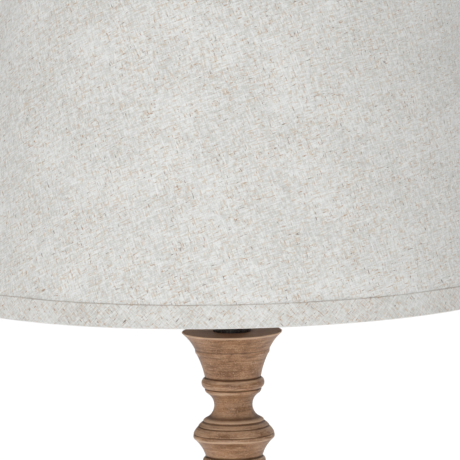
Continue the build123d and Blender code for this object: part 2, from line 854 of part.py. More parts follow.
def sheet_outline(outer, inner):
    """Draws the section of a sheet that lies between two depths behind the shade's face."""
    low, high = CLOTH_T + GAP, slope - CLOTH_T - GAP
    Polyline(
        on_shade(low, outer),
        on_shade(high, outer),
        on_shade(high, inner),
        on_shade(low, inner),
        close=True,
    )


def hem_outline(edge, turn):
    """Draws a hem that is folded round an edge wire, from an edge inwards along the slope."""

    def fold(along, inward):
        return on_shade(edge + turn * along, inward)

    Polyline(
        fold(0, 0.3),
        fold(0.3, 0),
        fold(HEM_H - 0.2, 0),
        fold(HEM_H, CLOTH_T),
        fold(CLOTH_T, CLOTH_T),
        fold(CLOTH_T, hem_depth - CLOTH_T),
        fold(WRAP_H, hem_depth - CLOTH_T),
        fold(WRAP_H, hem_depth),
        fold(0.3, hem_depth),
        fold(0, hem_depth - 0.3),
        close=True,
    )


with BuildPart() as shade_fabric:
    with BuildSketch(Plane.XZ):
        with BuildLine():
            sheet_outline(CLOTH_T, CLOTH_T + PANEL_T)
        make_face()
    revolve(axis=Axis.Z)
keep(shade_fabric.part, "shade_fabric")

with BuildPart() as shade_liner:
    with BuildSketch(Plane.XZ):
        with BuildLine():
            sheet_outline(CLOTH_T + PANEL_T, CLOTH_T + PANEL_T + LINER_T)
        make_face()
    revolve(axis=Axis.Z)
keep(shade_liner.part, "shade_liner")

top_ring_r, top_ring_z = on_shade(slope - ring_along, ring_in)
with BuildPart() as bottom_hem:
    with BuildSketch(Plane.XZ):
        with BuildLine():
            hem_outline(0, 1)
        make_face()
    revolve(axis=Axis.Z)
keep(bottom_hem.part, "bottom_hem")

with BuildPart() as top_hem:
    with BuildSketch(Plane.XZ):
        with BuildLine():
            hem_outline(slope, -1)
        make_face()
    revolve(axis=Axis.Z)
    # The hem's inner fold is cut away where the spider's arms reach the ring.
    with Locations(Plane.XY.offset(top_ring_z)):
        with PolarLocations(top_ring_r - 2 * RING_R, ARMS, start_angle=FIRST_ARM_DEG):
            Cylinder(ARM_R + 0.6, 4.0, rotation=(0, 90, 0), mode=Mode.SUBTRACT)
keep(top_hem.part, "top_hem")

for label, along in (("bottom_ring", ring_along), ("top_ring", slope - ring_along)):
    with BuildPart() as ring:
        with BuildSketch(Plane.XZ):
            with Locations(on_shade(along, ring_in)):
                Circle(RING_R)
        revolve(axis=Axis.Z)
    keep(ring.part, label)

FITTER_R = 14.0
FITTER_T = 1.6
FITTER_HOLE_R = STUD_R + 0.6
WELD = 0.5  # how far the arms sink into the washer and into the ring
arm_z = fitter_z + FITTER_T + ARM_R - WELD
with BuildPart() as spider:
    with BuildLine(Plane.XZ) as arm_path:
        FilletPolyline(
            (10.5, arm_z),
            (30.0, arm_z),
            (top_ring_r - RING_R + WELD, top_ring_z),
            radius=40.0,
        )
    with BuildSketch(Plane.YZ.offset(10.5)):
        with Locations((0, arm_z)):
            Circle(ARM_R)
    sweep(path=arm_path.line)
    first_arm = spider.part
    for turn in range(1, ARMS):
        add(first_arm.rotate(Axis.Z, turn * 360 / ARMS))
    with BuildSketch(Plane.XY.offset(fitter_z)):
        Circle(FITTER_R)
    extrude(amount=FITTER_T)
    with BuildSketch(Plane.XY.offset(fitter_z)):
        Circle(FITTER_HOLE_R)
    extrude(amount=FITTER_T, mode=Mode.SUBTRACT)
keep(spider.part.rotate(Axis.Z, FIRST_ARM_DEG), "spider")

# ---- Finial ---------------------------------------------------------------------------
finial_bottom = fitter_z + FITTER_T + GAP
INSERT_R = 5.0
INSERT_TOP = 19.0
BALL_R = 11.5
with BuildPart() as finial_insert:
    with BuildSketch(Plane.XZ):
        with BuildLine():
            lathe_outline(
                STUD_R + CLEAR,
                finial_bottom + INSERT_TOP,
                [
                    (INSERT_R, 0, 0),
                    (INSERT_R, INSERT_TOP - 4.6, 0),
                    (6.6, INSERT_TOP - 4.2, 0),
                    (5.8, INSERT_TOP - 2.8, -0.4),
                    (8.2, INSERT_TOP - 1.6, -0.3),
                    (8.2, INSERT_TOP - 0.3, 0.2),
                    (7.9, INSERT_TOP, 0),
                ],
            )
        make_face()
    revolve(axis=Axis.Z)
keep(finial_insert.part, "finial_insert")

knob_bottom = finial_bottom + 4.7
KNOB_H = 31.0
with BuildPart() as finial_knob:
    with BuildSketch(Plane.XZ):
        with BuildLine():
            lathe_outline(
                0,
                knob_bottom + KNOB_H,
                [
                    (1.6, 0, 0),
                    (3.2, 1.6, 0.6),
                    (2.6, 3.4, 0.4),
                    (4.4, 5.0, -0.4),
                    (6.8, 25.0, 6.4),
                    (6.6, 25.4, 0),
                    (8.0, 26.6, 0.3),
                    (6.6, 27.8, 0.3),
                    (7.8, KNOB_H, -0.6),
                ],
            )
        make_face()
    revolve(axis=Axis.Z)
    with BuildSketch(Plane.XY.offset(knob_bottom)):
        Circle(INSERT_R + 0.05)
    extrude(amount=finial_bottom + INSERT_TOP + 1.0 - knob_bottom, mode=Mode.SUBTRACT)
keep(finial_knob.part, "finial_knob")
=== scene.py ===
import json
import math

import bmesh
import bpy
from mathutils import Matrix, Vector, noise
from mathutils.bvhtree import BVHTree


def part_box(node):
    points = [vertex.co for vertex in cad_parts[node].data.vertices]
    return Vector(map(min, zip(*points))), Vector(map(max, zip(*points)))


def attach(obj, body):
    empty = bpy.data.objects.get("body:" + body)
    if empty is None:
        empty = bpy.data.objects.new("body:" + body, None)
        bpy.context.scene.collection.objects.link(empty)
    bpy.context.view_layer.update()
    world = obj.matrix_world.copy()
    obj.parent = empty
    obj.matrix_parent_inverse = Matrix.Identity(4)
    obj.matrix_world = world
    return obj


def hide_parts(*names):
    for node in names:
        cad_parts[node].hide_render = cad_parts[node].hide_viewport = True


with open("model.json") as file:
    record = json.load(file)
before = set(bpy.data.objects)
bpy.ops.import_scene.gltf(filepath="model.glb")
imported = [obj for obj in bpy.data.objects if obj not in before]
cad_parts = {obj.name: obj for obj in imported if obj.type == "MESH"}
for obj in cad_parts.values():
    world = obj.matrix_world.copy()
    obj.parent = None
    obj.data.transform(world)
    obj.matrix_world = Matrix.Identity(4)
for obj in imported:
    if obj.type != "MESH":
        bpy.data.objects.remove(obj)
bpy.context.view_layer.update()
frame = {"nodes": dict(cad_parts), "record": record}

# Looks for a table lamp: a washed wooden column under a linen shade. Metres, +Z up, the
# front is -Y. Angles round the lamp are measured from the front, positive to the right.

MM = 0.001

# ---- Shade, as cut and wrapped ---------------------------------------------------------
RIM_R = 203.2 * MM
TOP_R = 139.7 * MM
SHADE_H = 279.4 * MM
RIM_ABOVE_CUP = 31.5 * MM
CLOTH_T = 0.6 * MM  # the hem's cloth, on the outside of everything
PANEL_T = 0.7 * MM
PANEL_COLUMNS = 400
PANEL_ROWS = 56
PANEL_RIPPLE = 0.12 * MM
RIPPLE_SCALE = 22.0
HEM_H = 15.0 * MM
HEM_DEPTH = 5.3 * MM
WRAP_H = 7.0 * MM
GLUED_EDGE = 0.8 * MM
FOLD_W = 0.9 * MM
HEM_COLUMNS = 360
HEM_CORNER = 0.9 * MM
HEM_BULGE = 0.16 * MM
BULGE_SCALE = 70.0
HEM_DRIFT = 0.3 * MM  # how far its edge strays up and down
DRIFT_SCALE = 55.0
HEM_DARKENING_SHARE = 0.15  # how much of the fold's painted shade the rest of the hem gets, a slight darkening all over; the fold gets 1
SEAM_ANGLE = math.radians(-94.0)
SEAM_LAP = 12.0 * MM
PANEL_CENTRE = SEAM_ANGLE + math.pi

cup_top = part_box("upper_turning")[1].z
rim_z = cup_top + RIM_ABOVE_CUP
slope = math.hypot(RIM_R - TOP_R, SHADE_H)
lean = (RIM_R - TOP_R) / slope  # sine of the shade's half angle
rise = SHADE_H / slope


# ---- Materials ---------------------------------------------------------------------------
DIM_THREAD = (0.485, 0.485, 0.465)
PALE_THREAD = (0.66, 0.67, 0.66)
PALEST_THREAD = (0.74, 0.75, 0.74)
TAN_HAZE = (0.5, 0.375, 0.255)
BROWN_FLECK = (0.36, 0.21, 0.11)
DARK_FLECK = (0.13, 0.085, 0.055)
FOLD_PAINTED_SHADE = (0.2, 0.145, 0.095)
CROWDING = 0.012  # added to the flecks' noise where they crowd, taken off elsewhere

STAIN_DEEP = (0.172, 0.077, 0.033)
STAIN_LIGHT = (0.312, 0.16, 0.077)
RING_PALE = (0.4, 0.236, 0.136)
RING_DARK = (0.1, 0.043, 0.018)
FIBRE_PALE = (0.47, 0.305, 0.19)
SPECKLE_PALE = (0.5, 0.33, 0.21)
SPECKLE_DARK = (0.085, 0.037, 0.016)
PALE_WASH_AND_PAINTED_LIGHT = (0.5, 0.325, 0.212)
RUBBED_WASH = (0.58, 0.4, 0.275)
GROOVE_DARK = (0.085, 0.038, 0.017)
# painted shade for the cup's flat top, which sits under the lampshade
TOP_PAINTED_SHADE = (0.1, 0.038, 0.012)


class Paint:
    """One procedural material: a Principled shader, and short calls for what feeds it."""

    def __init__(self, name, **sockets):
        self.material = bpy.data.materials.new(name)
        self.material.use_nodes = True
        self.tree = self.material.node_tree
        self.surface = self.tree.nodes["Principled BSDF"]
        for socket, value in sockets.items():
            self.surface.inputs[socket.replace("_", " ")].default_value = value

    def node(self, kind, inputs, **settings):
        made = self.tree.nodes.new("ShaderNode" + kind)
        for key, value in settings.items():
            setattr(made, key, value)
        for key, value in inputs.items():
            if isinstance(value, bpy.types.NodeSocket):
                self.tree.links.new(value, made.inputs[key])
            else:
                made.inputs[key].default_value = value
        return made

    def here(self):
        """The point's own place on the object, in metres."""
        return self.node("TexCoord", {}).outputs["Object"]

    def attribute(self, name):
        return self.node("Attribute", {}, attribute_name=name).outputs["Fac"]

    def scaled(self, vector, scale, shift=(0, 0, 0)):
        inputs = {"Vector": vector, "Scale": scale, "Location": shift}
        return self.node("Mapping", inputs).outputs["Vector"]

    def noise(self, vector, scale=1.0, detail=2.0, roughness=0.5, distortion=0.0):
        inputs = {
            "Vector": vector,
            "Scale": scale,
            "Detail": detail,
            "Roughness": roughness,
            "Distortion": distortion,
        }
        return self.node("TexNoise", inputs).outputs["Fac"]

    def math(self, operation, a, b=0.0, c=0.0):
        """One sum on two or three values, each a socket or a number."""
        inputs = {0: a, 1: b, 2: c}
        return self.node("Math", inputs, operation=operation).outputs["Value"]

    def span(self, value, low, high, to_low=0.0, to_high=1.0):
        """The value carried from low..high to to_low..to_high, smoothly, and held outside."""
        inputs = {
            "Value": value,
            "From Min": low,
            "From Max": high,
            "To Min": to_low,
            "To Max": to_high,
        }
        return self.node("MapRange", inputs, interpolation_type="SMOOTHSTEP").outputs["Result"]

    def mix(self, factor, a, b):
        """Mixes two colours, each a socket or three numbers."""
        inputs = {0: factor}
        for key, colour in ((6, a), (7, b)):
            is_socket = isinstance(colour, bpy.types.NodeSocket)
            inputs[key] = colour if is_socket else (*colour, 1.0)
        return self.node("Mix", inputs, data_type="RGBA").outputs[2]

    def bump(self, height, distance):
        inputs = {"Height": height, "Distance": distance, "Strength": 1.0}
        return self.node("Bump", inputs).outputs["Normal"]

    def feed(self, **sockets):
        """Links sources to the shader's sockets and hands over the finished material."""
        for socket, source in sockets.items():
            self.tree.links.new(source, self.surface.inputs[socket.replace("_", " ")])
        return self.material


def linen():
    """Oatmeal linen: pale threads both ways, with slubs, tan haze and brown and dark flecks, and
    painted shade along a hem's fold.
    """
    paint = Paint("linen", Roughness=0.92, Sheen_Weight=0.1, Sheen_Roughness=0.6)
    cloth = paint.node("UVMap", {}, uv_map="cloth").outputs["UV"]

    def threads(length, width, shift, detail=1.0):
        """Streaks along the weft and along the warp, from 0 to 1, set apart by their shift."""
        along, across = 1.0 / length, 1.0 / width
        weft = paint.scaled(cloth, (along, across, 1.0), (shift, shift * 2.3, shift))
        warp = paint.scaled(cloth, (across, along, 1.0), (shift * 3.1, shift, -shift))
        return paint.noise(weft, detail=detail), paint.noise(warp, detail=detail)

    def flecked(under, colour, length, width, shift, start, full, share):
        """Streaks of a colour, from where their noise passes start to all of share at full."""
        weft, warp = threads(length, width, shift)
        fleck = paint.math("ADD", paint.math("MAXIMUM", weft, warp), spread)
        return paint.mix(paint.span(fleck, start, full, 0.0, share), under, colour)

    fine_weft, fine_warp = threads(4.5 * MM, 0.7 * MM, shift=3.7, detail=2.0)
    weave = paint.math("MULTIPLY", paint.math("ADD", fine_weft, fine_warp), 0.5)
    ground = paint.mix(paint.span(weave, 0.36, 0.64), DIM_THREAD, PALE_THREAD)
    patch = paint.noise(cloth, scale=26.0, detail=3.0)
    ground = paint.mix(paint.span(patch, 0.4, 0.7, 0.0, 0.3), ground, PALEST_THREAD)
    slub_weft, slub_warp = threads(22.0 * MM, 1.0 * MM, shift=11.3)
    slub = paint.math("MAXIMUM", slub_weft, slub_warp)
    ground = paint.mix(paint.span(slub, 0.64, 0.76, 0.0, 0.55), ground, PALEST_THREAD)

    crowd = paint.noise(cloth, scale=45.0, detail=2.0)
    spread = paint.span(crowd, 0.35, 0.65, -CROWDING, CROWDING)
    ground = flecked(
        ground, TAN_HAZE, 5.5 * MM, 0.95 * MM, shift=23.1, start=0.585, full=0.71, share=0.6
    )
    ground = flecked(
        ground, BROWN_FLECK, 4.6 * MM, 0.9 * MM, shift=41.9, start=0.67, full=0.74, share=0.75
    )
    ground = flecked(
        ground, DARK_FLECK, 5.0 * MM, 0.8 * MM, shift=57.3, start=0.725, full=0.775, share=0.8
    )

    # A thin dark line along the hem's folded edge: painted shade in the crease, patchy with the
    # crowding noise.
    fold = paint.math("MULTIPLY", paint.attribute("fold"), paint.span(crowd, 0.3, 0.6, 0.3, 0.62))
    ground = paint.mix(fold, ground, FOLD_PAINTED_SHADE)
    raised = paint.math("MULTIPLY_ADD", slub, 0.6, weave)
    return paint.feed(Base_Color=ground, Normal=paint.bump(raised, 0.22 * MM))


def washed_wood():
    """Brown-stained wood with a thin pale wash: dark in the grooves, rubbed on the ridges, paler on
    faces that look up (wash and painted light), and its flat top darkened with painted shade.
    """
    paint = Paint("washed_wood", Specular_IOR_Level=0.32)
    here = paint.here()
    ridge = paint.attribute("ridge")
    top = paint.attribute("top")
    normal = paint.node("TexCoord", {}).outputs["Normal"]
    facing = paint.node("SeparateXYZ", {"Vector": normal}).outputs["Z"]

    # The shift sets where the tone's paler patches fall. It was set to bring one onto the waist's
    # cove, as a painted highlight there.
    patches = paint.scaled(here, (70.0, 70.0, 70.0), (4.0, 0.0, 1.7))
    tone = paint.noise(patches, detail=5.0, roughness=0.65)
    around = paint.scaled(here, (45.0, 45.0, 420.0))
    rings = paint.noise(around, detail=4.0, roughness=0.7, distortion=0.5)
    closely_around = paint.scaled(here, (110.0, 110.0, 1300.0))
    fibre = paint.noise(closely_around, detail=2.0, distortion=0.4)
    speckle = paint.noise(here, scale=1250.0, detail=2.0, roughness=0.7)

    colour = paint.mix(paint.span(tone, 0.34, 0.66), STAIN_DEEP, STAIN_LIGHT)
    colour = paint.mix(paint.span(rings, 0.42, 0.68, 0.0, 0.6), colour, RING_PALE)
    colour = paint.mix(paint.span(rings, 0.46, 0.3, 0.0, 0.7), colour, RING_DARK)
    colour = paint.mix(paint.span(fibre, 0.57, 0.7, 0.0, 0.5), colour, FIBRE_PALE)
    colour = paint.mix(paint.span(speckle, 0.55, 0.68, 0.0, 0.6), colour, SPECKLE_PALE)
    colour = paint.mix(paint.span(speckle, 0.45, 0.33, 0.0, 0.6), colour, SPECKLE_DARK)

    uneven = paint.math("SUBTRACT", tone, 0.5)
    # Paler where faces look up: partly the pale wash's random patches, partly painted light falling
    # from above.
    wash_and_painted_light = paint.math("MULTIPLY_ADD", uneven, 1.4, facing)
    colour = paint.mix(paint.span(wash_and_painted_light, 0.2, 0.8, 0.0, 0.36), colour, PALE_WASH_AND_PAINTED_LIGHT)
    worn = paint.math("MULTIPLY_ADD", paint.math("SUBTRACT", rings, 0.5), 1.6, ridge)
    colour = paint.mix(paint.span(worn, 0.15, 0.8, 0.0, 0.65), colour, RUBBED_WASH)
    stain = paint.math("MULTIPLY_ADD", uneven, 0.6, ridge)
    colour = paint.mix(paint.span(stain, -0.02, -0.5, 0.0, 0.8), colour, GROOVE_DARK)
    # The flat top is darkened with painted shade, in place of the shadow the lampshade casts over
    # the cup.
    colour = paint.mix(paint.math("MULTIPLY", top, 0.88), colour, TOP_PAINTED_SHADE)

    rough = paint.span(speckle, 0.3, 0.7, 0.38, 0.56)
    rough = paint.math("MULTIPLY_ADD", top, 0.12, rough)
    grain = paint.math("MULTIPLY_ADD", speckle, 0.5, rings)
    return paint.feed(Base_Color=colour, Roughness=rough, Normal=paint.bump(grain, 0.3 * MM))


def speckled(name, colour, other, grain, rough, depth, **sockets):
    """A plain finish that varies between two colours and two roughnesses, finely textured.

    grain is the texture's size and depth its height.
    """
    paint = Paint(name, **sockets)
    here = paint.here()
    broad = paint.noise(here, scale=1.0 / (grain * 9), detail=3.0)
    fine = paint.noise(here, scale=1.0 / grain, detail=2.0, roughness=0.6)
    blend = paint.math("MULTIPLY_ADD", fine, 0.5, paint.math("MULTIPLY", broad, 0.5))
    return paint.feed(
        Base_Color=paint.mix(paint.span(blend, 0.35, 0.65), colour, other),
        Roughness=paint.span(fine, 0.3, 0.7, rough[0], rough[1]),
        Normal=paint.bump(fine, depth),
    )


PLAIN_FINISHES = {
    "liner": {
        "colour": (0.76, 0.75, 0.71),
        "other": (0.82, 0.81, 0.77),
        "grain": 2.5 * MM,
        "rough": (0.4, 0.55),
        "depth": 0.03 * MM,
    },
    "felt": {
        "colour": (0.035, 0.028, 0.022),
        "other": (0.075, 0.062, 0.05),
        "grain": 0.8 * MM,
        "rough": (0.9, 1.0),
        "depth": 0.5 * MM,
        "Sheen_Weight": 0.4,
    },
    "black_metal": {
        "colour": (0.012, 0.009, 0.008),
        "other": (0.028, 0.021, 0.018),
        "grain": 0.9 * MM,
        "rough": (0.26, 0.42),
        "depth": 0.03 * MM,
        "Metallic": 0.35,
    },
    "zinc_steel": {
        "colour": (0.46, 0.47, 0.48),
        "other": (0.62, 0.62, 0.62),
        "grain": 1.2 * MM,
        "rough": (0.25, 0.42),
        "depth": 0.03 * MM,
        "Metallic": 1.0,
    },
    "ring_steel": {
        "colour": (0.7, 0.69, 0.66),
        "other": (0.78, 0.77, 0.74),
        "grain": 1.2 * MM,
        "rough": (0.32, 0.46),
        "depth": 0.04 * MM,
    },
    "brass": {
        "colour": (0.62, 0.43, 0.17),
        "other": (0.76, 0.56, 0.27),
        "grain": 1.5 * MM,
        "rough": (0.22, 0.4),
        "depth": 0.03 * MM,
        "Metallic": 1.0,
    },
    "nickel": {
        "colour": (0.5, 0.49, 0.46),
        "other": (0.62, 0.6, 0.57),
        "grain": 1.5 * MM,
        "rough": (0.2, 0.34),
        "depth": 0.03 * MM,
        "Metallic": 1.0,
    },
    "solder": {
        "colour": (0.36, 0.36, 0.37),
        "other": (0.5, 0.5, 0.51),
        "grain": 0.8 * MM,
        "rough": (0.35, 0.55),
        "depth": 0.08 * MM,
        "Metallic": 1.0,
    },
    "phenolic": {
        "colour": (0.012, 0.011, 0.01),
        "other": (0.024, 0.022, 0.02),
        "grain": 1.0 * MM,
        "rough": (0.16, 0.3),
        "depth": 0.02 * MM,
        "Coat_Weight": 0.3,
    },
    "black_plastic": {
        "colour": (0.02, 0.019, 0.018),
        "other": (0.035, 0.033, 0.031),
        "grain": 0.7 * MM,
        "rough": (0.42, 0.58),
        "depth": 0.04 * MM,
    },
    "cardboard": {
        "colour": (0.3, 0.22, 0.14),
        "other": (0.42, 0.32, 0.21),
        "grain": 1.0 * MM,
        "rough": (0.8, 0.95),
        "depth": 0.08 * MM,
    },
    "frosted_glass": {
        "colour": (0.82, 0.82, 0.79),
        "other": (0.88, 0.88, 0.85),
        "grain": 3.0 * MM,
        "rough": (0.3, 0.4),
        "depth": 0.01 * MM,
        "Coat_Weight": 0.4,
        "Coat_Roughness": 0.08,
    },
}


def finishes():
    """Every material slot's finish, by the slot's name."""
    made = {"linen": linen(), "washed_wood": washed_wood()}
    for slot, look in PLAIN_FINISHES.items():
        made[slot] = speckled(slot, **look)
    return made


# ---- Mesh helpers ------------------------------------------------------------------------
CREASE = 40.0  # degrees


def make_piece(name, points, faces, body, slot, *replaced):
    """A mesh object that rides on a body, wears its slot's finish and stands for CAD nodes."""
    mesh = bpy.data.meshes.new(name)
    mesh.from_pydata(points, [], faces)
    mesh.validate()
    mesh.shade_smooth()
    mesh.set_sharp_from_angle(angle=math.radians(CREASE))
    piece = bpy.data.objects.new(name, mesh)
    bpy.context.scene.collection.objects.link(piece)
    mesh.materials.append(finish[slot])
    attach(piece, body)
    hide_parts(*replaced)
    return piece


def grid_faces(rows, columns, row_loops, column_loops):
    """Quads over a grid of points, joined end to end along rows or columns if they loop."""
    faces = []
    for row in range(rows if row_loops else rows - 1):
        for column in range(columns if column_loops else columns - 1):
            up, on = (row + 1) % rows, (column + 1) % columns
            faces.append(
                (
                    row * columns + column,
                    row * columns + on,
                    up * columns + on,
                    up * columns + column,
                )
            )
    return faces


# ---- Turned wood ---------------------------------------------------------------------------
PROBE_REACH = 0.3  # how far out a ray towards a turned wall starts
PROBES = [math.radians(-35.0 + 17.0 * turn) for turn in range(5)]
ROW_STEP = 0.15 * MM
LONGEST_ROW = 1.3 * MM
LONGEST_BORE = 1.0  # a bore's straight lengths are never divided
OUTLINE_SLACK = 0.012 * MM
RIDGE_REACH = 1.5 * MM
RIDGE_FULL = 0.45 * MM
SHARP_RIM = 0.35 * MM
SHARP_EDGE = 52.0  # degrees
THIN_WOOD = 12.0 * MM
WAVE_H = 0.16 * MM
WAVE_SCALE = 45.0  # noise cells to a metre, as in every scale of a shape here
DENT_H = 0.5 * MM
DENT_SCALE = 210.0
DENT_START = 0.25
BUSHING_FLANGE = 2.0 * MM
POCKET_R = 7.3 * MM
CORD_HOLE_R = 5.0 * MM
RECESS_R = 25.0 * MM


def wall_radius(tree, height, outside):
    """A turned node's radius at a height, as the widest or, inside, the narrowest of a few rays."""
    found = []
    for angle in PROBES:
        away = Vector((math.sin(angle), -math.cos(angle), 0))
        start = Vector((0, 0, height))
        ray = (start + away * PROBE_REACH, -away) if outside else (start, away)
        hit = tree.ray_cast(*ray)[0]
        if hit is not None:
            found.append(math.hypot(hit.x, hit.y))
    return max(found) if outside else min(found)


def wall_outlines(node):
    """A turned node's outside and its bore, each as (radius, height) from the bottom up."""
    solid = frame["nodes"][node].data
    tree = BVHTree.FromPolygons(
        [v.co for v in solid.vertices], [p.vertices for p in solid.polygons]
    )
    low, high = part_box(node)
    inset = 0.01 * MM
    span = high.z - low.z - 2 * inset
    count = round(span / ROW_STEP)
    heights = [low.z + inset + span * row / count for row in range(count + 1)]
    return [[(wall_radius(tree, z, outside), z) for z in heights] for outside in (True, False)]


def thinned(points, longest):
    """The outline without the points that a straight line between their neighbours passes."""
    kept = [points[0]]
    start = 0
    for end in range(2, len(points)):
        first, last = Vector(points[start]), Vector(points[end])
        line = last - first
        across = Vector((-line.y, line.x)).normalized()
        stray = max(abs((Vector(p) - first).dot(across)) for p in points[start + 1 : end])
        if stray > OUTLINE_SLACK or line.length > longest:
            start = end - 1
            kept.append(points[start])
    kept.append(points[-1])
    return kept


def stands_out(outline, reach, full):
    """How far each point of an outline stands out from those near it, from -1 to 1."""
    near = round(reach / ROW_STEP)
    radii = [radius for radius, z in outline]
    found = []
    for row, radius in enumerate(radii):
        around = radii[max(0, row - near) : row + near + 1]
        found.append(max(-1.0, min(1.0, (radius - sum(around) / len(around)) / full)))
    return found


def handwork(at, radius, ridge):
    """How far a turned wall strays from true: slow waves, and dents along its ridges."""
    if radius < THIN_WOOD:
        return 0.0
    dent = max(0.0, noise.noise(at * DENT_SCALE) - DENT_START)
    return WAVE_H * noise.noise(at * WAVE_SCALE) - DENT_H * max(0.0, ridge) * dent


def bored(piece, radius, near, far, height):
    """Cuts a round hole into a piece along Y, from near to far."""
    place = Matrix.Translation((0, (near + far) / 2, height))
    form = bmesh.new()
    bmesh.ops.create_cone(
        form,
        cap_ends=True,
        segments=64,
        radius1=radius,
        radius2=radius,
        depth=far - near,
        matrix=place @ Matrix.Rotation(math.pi / 2, 4, "X"),
    )
    mesh = bpy.data.meshes.new("cutter")
    form.to_mesh(mesh)
    form.free()
    cutter = bpy.data.objects.new("cutter", mesh)
    bpy.context.scene.collection.objects.link(cutter)
    cut = piece.modifiers.new("bore", "BOOLEAN")
    cut.operation = "DIFFERENCE"
    cut.solver = "EXACT"
    cut.object = cutter
    result = piece.evaluated_get(bpy.context.evaluated_depsgraph_get())
    piece.data = bpy.data.meshes.new_from_object(result)
    piece.modifiers.clear()
    bpy.data.objects.remove(cutter)


def turning(node, columns, holes=()):
    """A turned piece of wood: the CAD node's outline, spun with the small faults of handwork.

    Its points carry "ridge", how far they stand out, and "top", 1 on the flat top. Each hole
    is what bored takes after the piece.
    """
    outer, inner = wall_outlines(node)
    wall, bore = thinned(outer, LONGEST_ROW), thinned(inner, LONGEST_BORE)
    rim, top = wall[-1]
    lid = [(rim - SHARP_RIM, top)]
    lid += [(bore[-1][0] + (rim - bore[-1][0]) * share, top) for share in (0.75, 0.5, 0.25)]
    outline = wall + lid + bore[::-1]
    bore_r = max(radius for radius, z in inner)
    base = outer[0][1]
    ridges = stands_out(outer, RIDGE_REACH, RIDGE_FULL)

    def nearest(z):
        """The row of the outer outline that is at a height."""
        return min(len(outer) - 1, max(0, round((z - base) / (top - base) * (len(outer) - 1))))

    points = []
    for row, (radius, z) in enumerate(outline):
        for column in range(columns):
            angle = 2 * math.pi * column / columns
            away = Vector((math.cos(angle), math.sin(angle), 0))
            at = away * radius + Vector((0, 0, z))
            stray = handwork(at, radius, ridges[nearest(z)]) if row < len(wall) else 0.0
            points.append(at + away * stray)
    faces = grid_faces(len(outline), columns, True, True)
    piece = make_piece(f"turned_{node}", points, faces, "base", "washed_wood", node)
    for hole in holes:
        bored(piece, *hole)
    piece.data.set_sharp_from_angle(angle=math.radians(SHARP_EDGE))

    marks = {"ridge": [], "top": []}
    for vertex in piece.data.vertices:
        radius, z = math.hypot(vertex.co.x, vertex.co.y), vertex.co.z
        on_top = z > top - 0.02 * MM and radius < rim - 0.7 * SHARP_RIM
        outside = radius > bore_r + 0.5 * MM and not on_top
        marks["ridge"].append(ridges[nearest(z)] if outside else 0.0)
        marks["top"].append(1.0 if on_top else 0.0)
    for name, values in marks.items():
        layer = piece.data.attributes.new(name, "FLOAT", "POINT")
        layer.data.foreach_set("value", values)


# ---- Shade ------------------------------------------------------------------------------
def on_shade(angle, along, inward):
    """A point of the shade: round from the front, up its slope from the rim, and in from it."""
    radius = RIM_R - lean * along - rise * inward
    return Vector(
        (
            radius * math.sin(angle),
            -radius * math.cos(angle),
            rim_z + rise * along - lean * inward,
        )
    )


def lay_cloth(piece, columns, place):
    """Gives each corner its place on the flat cloth, in metres, as the map named cloth.

    place takes a row and a column; where a face closes a ring, it gets the column past the last.
    """
    layer = piece.data.uv_layers.new(name="cloth")
    for face in piece.data.polygons:
        corners = [divmod(vertex, columns) for vertex in face.vertices]
        across = [column for row, column in corners]
        closes = max(across) - min(across) > 1
        for loop, (row, column) in zip(face.loop_indices, corners):
            layer.data[loop].uv = place(row, columns if closes and column == 0 else column)


def panel_place(angle, along):
    """Where a point of the shade's panel lay on the flat cloth it was cut from."""
    reach = RIM_R / lean - along
    turn = (angle - PANEL_CENTRE) * lean
    return (reach * math.sin(turn), -reach * math.cos(turn))


def smooth_step(value, low, high):
    share = max(0.0, min(1.0, (value - low) / (high - low)))
    return share * share * (3 - 2 * share)


def shade_panel():
    """The linen panel, its length and its area: once round, and lapped over its own start."""
    wide, high = PANEL_COLUMNS + 1, PANEL_ROWS + 1
    lap = SEAM_LAP / RIM_R

    def angle_at(column):
        return SEAM_ANGLE - lap / 2 + (2 * math.pi + lap) * column / PANEL_COLUMNS

    def along_at(row):
        return GLUED_EDGE + (slope - 2 * GLUED_EDGE) * (row % high) / PANEL_ROWS

    points = []
    for row in range(2 * high):
        for column in range(wide):
            angle, along = angle_at(column), along_at(row)
            wrap = angle - angle_at(0)
            lift = 0.75 * PANEL_T * smooth_step(wrap, 2 * math.pi - 0.8 * lap, 2 * math.pi)
            ripple = PANEL_RIPPLE * noise.noise(on_shade(angle, along, 0) * RIPPLE_SCALE)
            face = ripple if row < high else PANEL_T
            points.append(on_shade(angle, along, CLOTH_T + face - lift))

    outer = grid_faces(high, wide, False, False)
    back = high * wide
    faces = outer + [tuple(back + corner for corner in reversed(face)) for face in outer]
    last_row, last_column = PANEL_ROWS * wide, PANEL_COLUMNS
    ends = [(column, column + 1) for column in range(PANEL_COLUMNS)]
    ends += [(a + last_row, b + last_row) for b, a in ends]
    ends += [((row + 1) * wide, row * wide) for row in range(PANEL_ROWS)]
    ends += [
        (row * wide + last_column, (row + 1) * wide + last_column) for row in range(PANEL_ROWS)
    ]
    faces += [(a, a + back, b + back, b) for a, b in ends]

    piece = make_piece("shade_cloth", points, faces, "shade", "linen", "shade_fabric")
    lay_cloth(piece, wide, lambda row, column: panel_place(angle_at(column), along_at(row)))
    length = (2 * math.pi + lap) * RIM_R
    area = lean * (math.pi + lap / 2) * ((RIM_R / lean) ** 2 - (RIM_R / lean - slope) ** 2)
    return piece, length, area


